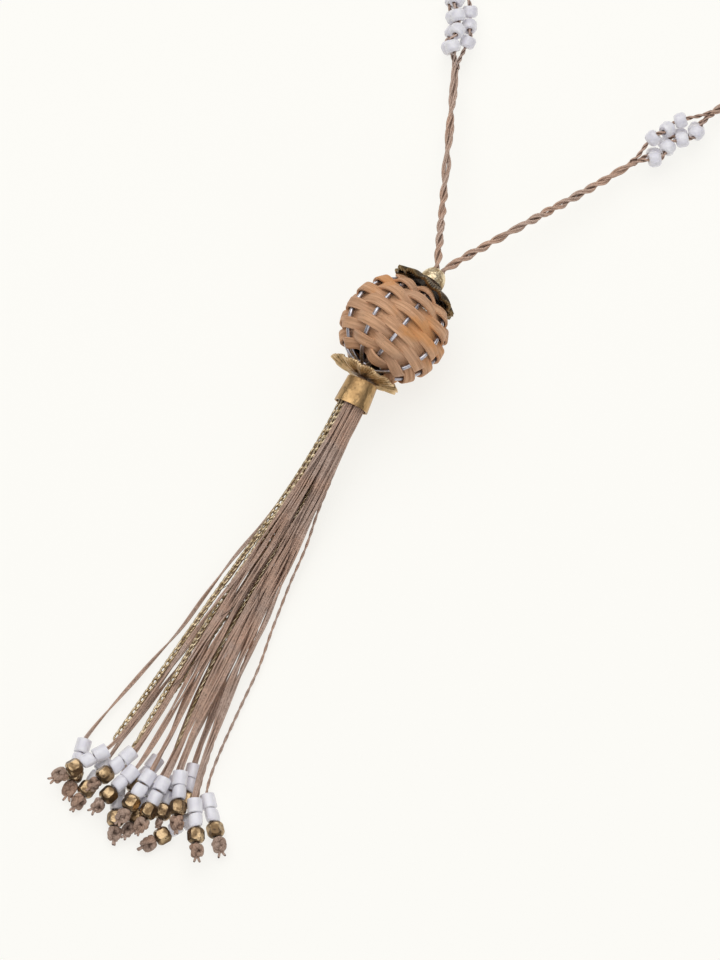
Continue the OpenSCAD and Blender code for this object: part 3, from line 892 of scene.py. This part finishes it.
def cup_finish(name, centre, rim, bright, dull, dark, shade_and_patina_to):
    """Pressed brass, mottled. It is darker towards the hole, partly patina and partly painted shade,
    and has a painted highlight at the rim.
    """
    finish = Finish(name)
    body = finish.coordinates()
    middle = tuple(to_metres(np.array(centre)))
    distance = {"operation": "DISTANCE"}
    out = finish.node("ShaderNodeVectorMath", distance, {0: body, 1: middle}, output=1) / MM
    mottle = finish.noise(body, 380, detail=4, roughness=0.65)
    fine = finish.noise(body, 1700)
    edge = out + (mottle - 0.5) * 3
    tone = finish.mixed(finish.steps(mottle * 0.6 + fine * 0.4, 0.38, 0.62), dull, bright)
    # Painted shade and patina: towards the hole the colour goes dark.
    tone = finish.mixed(finish.steps(edge, shade_and_patina_to - 3, shade_and_patina_to), dark, tone)
    # Painted highlight: near the rim the colour goes paler.
    tone = finish.mixed(finish.steps(edge, petal_r - 1.2, petal_r - 0.2), tone, rim)
    return finish.surface(
        Base_Color=tone,
        Metallic=1.0,
        Roughness=finish.steps(fine, 0.3, 0.7, 0.3, 0.5),
        Normal=finish.bump(fine + mottle, 0.4, 0.3),
    )


top_centre = (0.3, 17.0, 15)
top_lean = math.radians(9.8)
top_flower = petal_cup(
    "top_flower", lambda points: toward_neck(top_centre, top_lean, points),
    depth=3.1, flute=0.2, ray=0.2, tooth=0.3,
)
# The upper cup is near-black all over, partly patina and partly painted shade; the paler rim colours
# are painted highlights.
top_flower.data.materials[0] = cup_finish(
    "cup_face", top_centre, rim=(0.26, 0.175, 0.08), bright=(0.12, 0.08, 0.04),
    dull=(0.06, 0.04, 0.02), dark=(0.04, 0.025, 0.012), shade_and_patina_to=6.5,
)
top_flower.data.materials[1] = cup_finish(
    "cup_inside", top_centre, rim=(0.66, 0.46, 0.2), bright=(0.26, 0.165, 0.07),
    dull=(0.07, 0.042, 0.018), dark=(0.02, 0.012, 0.005), shade_and_patina_to=8.5,
)
bottom_centre = (-2.3, -16.8, 15)
bottom_direction = unit(np.array((0.015, -0.987, -0.156)))
bottom_flower = petal_cup(
    "bottom_flower", lambda points: laid_along(bottom_centre, bottom_direction, points),
    depth=1.4, flute=0.4, ray=0.07, tooth=0.08,
)
# The lower cup: antiqued brass, with painted shade towards the tube and a painted highlight along its
# rim.
bottom_flower.data.materials[0] = cup_finish(
    "antique_brass_painted_light", bottom_centre, rim=(0.79, 0.58, 0.34), bright=(0.61, 0.41, 0.21),
    dull=(0.36, 0.24, 0.11), dark=(0.2, 0.12, 0.05), shade_and_patina_to=5,
)
bottom_flower.data.materials[1] = bottom_flower.data.materials[0]


# Tassel tube. A rolled and hammered brass tube that holds the tops of the threads and chains. The
# hidden core cord, from dome to tube, is of the neck cord's linen.
dress("tassel_tube", brass_finish(
    "hammered_brass", bright=(0.55, 0.355, 0.165), dull=(0.38, 0.235, 0.108),
    dark=(0.18, 0.11, 0.045), wear=(0.3, 0.6), roughness=(0.34, 0.5), dents=1.0, grain=0.8,
))
dress("core_cord", cord_linen)


# Tassel. Sixteen linen threads, all flat but two that are twisted tight, hang from a bound head
# inside the tube. Each goes through two white beads and a brass one, and ends in a knot with two
# short tails. More threads lie beside them and go into the same beads, and a few fibres stand off.
# Each thread's row: its place across and up in the tube's mouth, its x and z half way down, its
# first bead's x, y and layer in the pile, the degrees that the beads and the thread point off
# straight down, and the knot's radius.
Thread = namedtuple("Thread", "slot_x slot_z via_x via_z bead_x bead_y layer turn arrive_turn knot_r")
thread_rows = [Thread(*row) for row in (
    (-2.9, -0.95, -9.9, 2.6, -16.0, -144.0, 0, 15, 0, 1.8),
    (-0.85, 3.35, -5.3, 6.6, -9.9, -144.2, 1, -30, -15, 1.8),
    (-0.55, 2.2, -3.1, 5.9, -3.2, -141.0, 1, -18, -8, 1.5),
    (-1.75, -1.1, -4.8, 1.2, -8.3, -145.6, 0, -3, -3, 1.7),
    (0.6, 2.1, -1.2, 5.9, 0.03, -145.2, 1, -14, -6, 1.6),
    (0.2, 3.2, 0.9, 6.2, 4.65, -143.8, 1, -1, 0, 1.7),
    (-0.6, -1.1, -2.8, 1.1, -1.35, -149.7, 0, 27, 6, 1.7),
    (1.75, 2.3, 3.2, 5.9, 9.05, -143.5, 1, 5, 5, 1.7),
    (0.55, -1.1, -0.6, 1.1, 3.3, -138.3, 0, -6, 0, 0.8),
    (1.7, -1.0, 3.9, 1.1, 10.75, -140.8, 0, 12, 12, 0.9),
    (2.4, 1.2, 5.6, 5.0, 12.4, -139.5, 1, 27, 18, 1.7),
    (1.2, -2.2, 8.4, 1.1, 19.85, -147.5, 0, -29, 38, 1.8),
    (3.2, 0.3, 9.8, 5.0, 19.9, -144.15, 1, 33, 20, 1.7),
    (2.35, -2.1, 12.8, 1.5, 21.65, -140.1, 0, 44, 26, 1.8),
    (0, -2.2, 1.8, 1.1, 7.05, -145.5, 0, 0, -6, 1.6),
    (2.85, -0.85, 6.2, 1.4, 13.6, -135.0, 0, 17, 15, 0.8),
)]
via_y = -95
arrival = 24
arrival_rise = (4.2, 1.2)
via_flat = 12
points_per_half = 60
thread_sunk = 0.6
entry_gap = 0.3
white_d = 4.2
white_l = 4
brass_l = 4.1
bead_pitch = 4.1
layer_step = 4.3
brass_along = 2 * bead_pitch + 0.05
tube_l = 7.7
tube_top_d = 8.9
tube_wall = 0.45
head_top = 1.4
head_sink = 2.2
head_clear = 0.22
tube_top = np.array((-1.6, -17.6, 14.8))
tube_direction = unit(np.array((0.088, -0.984, -0.156)))
tube_mouth = tube_top + tube_l * tube_direction
tube_across = unit(np.cross(UP, tube_direction))
tube_over = np.cross(tube_direction, tube_across)


def mouth_place(slot_x, slot_z):
    return tube_mouth - head_sink * tube_direction + slot_x * tube_across + slot_z * tube_over


def heading(degrees):
    return np.array((math.sin(math.radians(degrees)), -math.cos(math.radians(degrees)), 0))


def hanging_path(start, via, finish, arrive):
    """From the head, through a place half way down, to the end."""
    set_out = tube_direction * np.linalg.norm(via - start)
    passing = (finish - start) * np.array((0.5, 0.5, 1 / via_flat))
    parts = np.arange(points_per_half) / points_per_half
    path = [hermite(start, set_out, via, passing, t) for t in parts]
    path += [hermite(via, passing, finish, arrive, t) for t in parts]
    return path


def first_bead(row):
    """The middle of a string's first bead, and the string's heading."""
    middle = np.array((row.bead_x, row.bead_y, white_d / 2 + row.layer * layer_step))
    return middle, heading(row.turn)


def path_to_bead(row, slot_x, slot_z, via_x, via_z, aside=0):
    """A thread's middle, from the head to just before the first bead of a string."""
    first, ahead = first_bead(row)
    entry = first - ahead * (white_l / 2 + entry_gap) + aside
    arrive = arrival * heading(row.arrive_turn) + arrival_rise[row.layer] * UP
    start = mouth_place(slot_x, slot_z) - thread_sunk * tube_direction
    return hanging_path(start, np.array((via_x, via_y, via_z)), entry, arrive) + [entry]


def thread_path(row):
    """The thread's middle from the head to the end of its last bead, and its heading there."""
    first, ahead = first_bead(row)
    last_face = first + ahead * (brass_along + brass_l / 2)
    return np.array(path_to_bead(row, *row[:4]) + [last_face]), ahead


# Each further thread's row: the string that it joins, then the same four places as above.
second_rows = [
    (2, -1.2, 2.9, -2.5, 6.2),
    (2, -1.6, 1.0, -3.4, 3.6),
    (4, 0.3, 3.0, -0.1, 5.2),
    (5, 0.6, 2.2, 0.5, 3.6),
    (7, 1.4, 2.8, 3.9, 5.7),
    (7, 1.3, 1.4, 3.0, 3.0),
    (10, 2.1, 2.0, 4.7, 5.4),
    (10, 2.6, 1.5, 6.4, 5.0),
    (12, 2.9, 1.0, 7.4, 4.8),
    (12, 3.3, 0.5, 8.6, 4.6),
    (12, 3.3, -0.4, 9.2, 2.9),
    (1, -2.4, 1.3, -5.8, 2.2),
    (3, -2.6, -0.2, -7.3, 2.0),
    (6, -1.3, 0.0, -3.9, 2.2),
    (8, -0.1, 0.7, -1.7, 1.8),
    (14, 0.7, -1.3, 0.6, 1.7),
    (14, 1.0, -0.3, 2.7, 2.0),
    (9, 1.6, 0.3, 4.9, 2.3),
    (15, 2.2, -0.4, 5.6, 2.8),
    (15, 2.5, -1.5, 7.2, 2.4),
    (9, 2.1, -0.2, 6.4, 3.4),
]
second_aside = 0.3
second_into_bead = 2
sway_size = 0.45
sway_stops = 0.86
level_waves = ((1.7, 0.37, 0.7), (3.3, 0.61, 0.5), (6.1, 0.23, 0.22))
rise_wave = (2.6, 0.71, 0.35)


def second_path(string, slot_x, slot_z, via_x, via_z):
    """A further thread's middle, from the head into the first bead of its string."""
    row = thread_rows[string]
    _, ahead = first_bead(row)
    aside = np.cross(UP, ahead) * second_aside * (1 if via_x > row.via_x else -1)
    path = path_to_bead(row, slot_x, slot_z, via_x, via_z, aside)
    return np.array(path + [path[-1] + ahead * second_into_bead])


def swaying(path, seed):
    """The same path with slow waves that fade towards both ends. Each wave's row is its count
    along the path, its shift from one thread to the next, and its size."""
    part = gone_along(path) / gone_along(path)[-1]
    fade = np.sin(math.pi * np.clip(part / sway_stops, 0, 1))[:, None]

    def wave(count, shift, size):
        return size * np.sin(2 * math.pi * (part * count + seed * shift))[:, None]

    _, left, over = frames_along(path)
    level = sum(wave(*row) for row in level_waves)
    return path + sway_size * fade * (level * left + wave(*rise_wave) * over)


knot_loop = 0.66
cross_loop = 0.58
cross_loop_back = 0.2


def knot_yarns(middle, ahead, r, turn):
    """A knot as two trefoils of thread across each other, and its two short tails."""
    side = unit(np.cross(UP, ahead))
    over = np.cross(ahead, side)
    t = np.linspace(0, 2 * math.pi, 40)
    x = (np.sin(t) + 2 * np.sin(2 * t))[:, None] / 3
    y = (np.cos(t) - 2 * np.cos(2 * t))[:, None] / 3
    twist = -np.sin(3 * t)[:, None]
    a = math.cos(turn) * side + math.sin(turn) * over
    b = math.cos(turn) * over - math.sin(turn) * side
    loops = [
        middle + knot_loop * r * (x * a + y * b + twist * ahead),
        middle + cross_loop * r * (x * ahead + y * a + twist * b) - cross_loop_back * r * ahead,
    ]
    part = np.linspace(0, 1, 8)[:, None]
    tails = []
    for bend in (-1, 1):
        drift = bend * (0.12 + 0.35 * part ** 2) * r
        sweep = side * drift * math.cos(turn) + over * drift * 0.3
        tails.append(middle + ahead * r * (0.4 + 1.2 * part) + sweep)
    return loops, tails


def flat_thread(path, across, turns):
    """Three yarns side by side, as a flat thread that turns over slowly."""
    return [(path, path)] + [(yarn, path) for yarn in laid_round(path, 2, across, turns)]


# The tassel linen's groove colour is painted shade between the yarns of a thread.
tassel_linen = linen_finish(
    "tassel_linen", light=(0.63, 0.475, 0.395), dark=(0.38, 0.27, 0.21), groove_painted_shade=(0.13, 0.08, 0.06),
    bulge_low=0.08, bulge_high=0.34, slant_pitch=40,
)
# The knot linen's groove colour is painted shade in the knot's crevices, reaching far from its
# middle.
knot_linen = linen_finish(
    "knot_linen", light=(0.58, 0.43, 0.345), dark=(0.24, 0.16, 0.12), groove_painted_shade=(0.05, 0.03, 0.02),
    bulge_low=0.9, bulge_high=2.1, slant_pitch=3,
)
knot_swell = 1.2
small_knot_r = 1.3
knot_yarn_share = 0.36
knot_clear = 1.1
tail_r = 0.36
thread_pitch = 50
tight_pitch = 7
tight_rows = (11, 13)
yarn_across = 0.33
tight_yarn_across = 0.2
thread_yarn_r = 0.26
thread_step = 1.3
steps_in_beads = 12
second_seed = 20
yarns_per_thread = 3
thread_yarns = []
knot_loops = []
tail_yarns = []
for i, row in enumerate(thread_rows):
    path, ahead = thread_path(row)
    path = evenly(path, thread_step)
    path[:-steps_in_beads] = swaying(path[:-steps_in_beads], i)
    tight = i in tight_rows
    turns = gone_along(path) / (tight_pitch if tight else thread_pitch) + i * 0.3
    thread_yarns += flat_thread(path, tight_yarn_across if tight else yarn_across, turns)
    knot_r = row.knot_r * knot_swell
    knot_middle = path[-1] + ahead * knot_r * knot_clear
    loops, tails = knot_yarns(knot_middle, ahead, knot_r, i * 2.4)
    knot_loops.append((loops, knot_middle, knot_r))
    tail_yarns += [(tail, tail) for tail in tails]
for i, row in enumerate(second_rows):
    path = swaying(evenly(second_path(*row), thread_step), i + second_seed)
    turns = gone_along(path) / thread_pitch + i * 0.4
    thread_yarns += flat_thread(path, yarn_across, turns)

fibre_count = 26
fibre_r = 0.09
fibre_lift = 1.3
fibre_drift = 3.2
fluff = random.Random(7)


def stray_fibre():
    """A fibre that leaves a thread, rises in a low arch and ends a little above it, to one side."""
    host = thread_yarns[yarns_per_thread * fluff.randrange(len(thread_yarns) // yarns_per_thread)][0]
    start = fluff.randrange(12, 70)
    reach = fluff.randrange(6, 12)
    part = np.linspace(0, 1, 10)[:, None]
    arch = fibre_lift * np.sin(math.pi * part * 0.8) * UP
    aside = fluff.uniform(-fibre_drift, fibre_drift) * part ** 2 * np.array((1, 0, 0))
    return host[start] + part * (host[start + reach] - host[start]) + arch + aside


fibre_paths = [stray_fibre() for _ in range(fibre_count)]
fibres = yarn_mesh("fibres", [(path, path) for path in fibre_paths], fibre_r, rounds=0)
threads = yarn_mesh("tassel", thread_yarns, thread_yarn_r)
tails = yarn_mesh("tails", tail_yarns, tail_r)
for part in (fibres, threads, tails):
    part.data.materials.append(tassel_linen)
knots = []
for loops, middle, r in knot_loops:
    laps = [(loop, np.broadcast_to(middle, loop.shape)) for loop in loops]
    knot = yarn_mesh("knot", laps, r * knot_yarn_share, rounds=2, ends=1)
    # The knot linen paints shade deep within the knot, so a small knot would be shaded all over.
    knot.data.materials.append(knot_linen if r > small_knot_r else tassel_linen)
    knots.append(knot)
head_length = tube_l - head_top - head_sink
head_middle = tube_top + (head_top + head_length / 2) * tube_direction
bpy.ops.mesh.primitive_cylinder_add(
    vertices=40, radius=(tube_top_d / 2 - tube_wall - head_clear) * MM, depth=head_length * MM,
    location=to_metres(head_middle),
    rotation=Vector(tube_direction).to_track_quat("Z", "Y").to_euler(),
)
head = bpy.context.object
head.data.materials.append(tassel_linen)
select([threads, fibres, tails, head] + knots)
bpy.ops.object.join()
bpy.ops.object.transform_apply(location=True, rotation=True, scale=True)
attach(threads, "root")
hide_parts("tassel")


# Fine chains. Four lengths of brass curb chain hang among the threads. Each oval link is twisted,
# so that it passes through its neighbours and lies flat with them.
# Each chain's row: its place across and up in the tube's mouth, its x and z half way down, its end.
Chain = namedtuple("Chain", "slot_x slot_z via_x via_z end_x end_y end_z")
chain_rows = [Chain(*row) for row in (
    (-3.1, 0.45, -7.4, 3.4, -9.8, -138.5, 1.1),
    (-2.15, 2.15, -4.6, 4.8, -3.3, -136, 4.6),
    (-1.1, 0.45, -1.5, 3.2, -4.2, -141, 2.5),
    (0.95, 0.45, 1.6, 3.2, 6.4, -132.5, 3.2),
)]
chain_clear = 0.2
link_l = 3.3
link_w = 1.62
link_wire = 0.62
link_play = 0.02
link_pitch = link_l - 2 * link_wire - link_play
link_twist = math.radians(48)
link_bow = 4
chain_brass = brass_finish(
    "chain_brass", bright=(0.73, 0.61, 0.42), dull=(0.39, 0.285, 0.155), dark=(0.08, 0.05, 0.025),
    wear=(0.35, 0.6), roughness=(0.28, 0.45), dents=0.3, grain=2.5,
)


def chain_piece(name, row, roll):
    """Copies one link along the chain's path and joins them."""
    start = mouth_place(row.slot_x, row.slot_z) + chain_clear * tube_direction
    via = np.array((row.via_x, via_y, row.via_z))
    finish = np.array((row.end_x, row.end_y, row.end_z))
    path = hanging_path(start, via, finish, arrival * unit(finish - via)) + [finish]
    path = evenly(np.array(path), link_pitch)
    along, left, over = frames_along(path)
    bpy.ops.mesh.primitive_torus_add(
        major_segments=18, minor_segments=6,
        major_radius=(link_w - link_wire) / 2 * MM, minor_radius=link_wire / 2 * MM,
    )
    link = bpy.context.object
    shape = np.array([v.co for v in link.data.vertices]) / MM
    bow = np.sign(shape[:, 0]) * np.minimum(np.abs(shape[:, 0]) * link_bow, 1)
    shape[:, 0] += bow * (link_l - link_w) / 2
    links = []
    for i in range(1, len(path) - 1):
        copy = link.copy()
        copy.data = link.data.copy()
        bpy.context.scene.collection.objects.link(copy)
        turn = link_twist * shape[:, :1] / (link_l / 2) + 0.15 * math.sin(i * 1.9) + roll
        side = np.cos(turn) * left[i] + np.sin(turn) * over[i]
        face = np.cos(turn) * over[i] - np.sin(turn) * left[i]
        placed = path[i] + shape[:, :1] * along[i] + shape[:, 1:2] * side + shape[:, 2:] * face
        copy.data.vertices.foreach_set("co", to_metres(placed).ravel())
        links.append(copy)
    select(links)
    bpy.ops.object.join()
    chain = bpy.context.object
    chain.name = name
    bpy.data.objects.remove(link)
    bpy.ops.object.shade_smooth()
    chain.data.materials.append(chain_brass)
    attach(chain, "root")
    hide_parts(name)


for i, row in enumerate(chain_rows):
    chain_piece(f"chain_{i + 1}", row, 0.4 * i)


# End beads. Two white beads and one brass bead with six worn facets are threaded at the end of
# each thread. The first white bead is a cylinder with sharp cut ends. The second is the same
# bead tumbled longer, so that it is rounder and a little uneven.
tube_glass = glass_finish("tube_glass", roughness=0.16)
white_bore = 1.5


def white_bead(centre, ahead, turn, edge, share, uneven):
    """A ring whose section is a rounded rectangle. A small edge gives sharp cut ends."""
    ring_r = 2
    bpy.ops.mesh.primitive_torus_add(
        major_segments=32, minor_segments=24, major_radius=ring_r, minor_radius=1
    )
    bead = bpy.context.object
    ring = np.array([v.co for v in bead.data.vertices])
    angle = np.arctan2(ring[:, 1], ring[:, 0])
    out = np.hypot(ring[:, 0], ring[:, 1]) - ring_r
    along = ring[:, 2]
    wall = (white_d - white_bore) / 4
    r = white_bore / 2 + wall + wall * np.sign(out) * np.abs(out) ** edge
    z = white_l / 2 * share * np.sign(along) * np.abs(along) ** edge
    r *= share * (1 - uneven * (0.5 + 0.5 * np.cos(3 * angle + turn)) * (out > 0))
    z += uneven * 3 * np.cos(angle + 2 * turn) * (out > -0.5)
    side = unit(np.cross(UP, ahead))
    over = np.cross(ahead, side)
    placed = centre + (r * np.cos(angle))[:, None] * side + (r * np.sin(angle))[:, None] * over
    placed += z[:, None] * ahead
    bead.data.vertices.foreach_set("co", to_metres(placed).ravel())
    bead.data.update()
    bpy.ops.object.shade_smooth_by_angle(angle=math.radians(40))
    return bead


def white_pair(name, row, turn):
    """The two white beads of one string, as one piece."""
    first, ahead = first_bead(row)
    second = first + bead_pitch * ahead
    cut = white_bead(first, ahead, turn, edge=0.2, share=1, uneven=0)
    tumbled = white_bead(second, ahead, turn, edge=0.72, share=0.97, uneven=0.11)
    select([cut, tumbled])
    bpy.ops.object.join()
    cut.name = name
    cut.data.materials.append(tube_glass)
    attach(cut, "root")
    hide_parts(name)


bead_brass = brass_finish(
    "bead_brass", bright=(0.48, 0.345, 0.2), dull=(0.17, 0.11, 0.058), dark=(0.04, 0.023, 0.012),
    wear=(0.42, 0.62), roughness=(0.2, 0.42), dents=0.7, grain=1.3,
)
for i, row in enumerate(thread_rows):
    white_pair(f"white_beads_{i + 1:02d}", row, i * 1.7)
    dress(f"brass_bead_{i + 1:02d}", bead_brass)
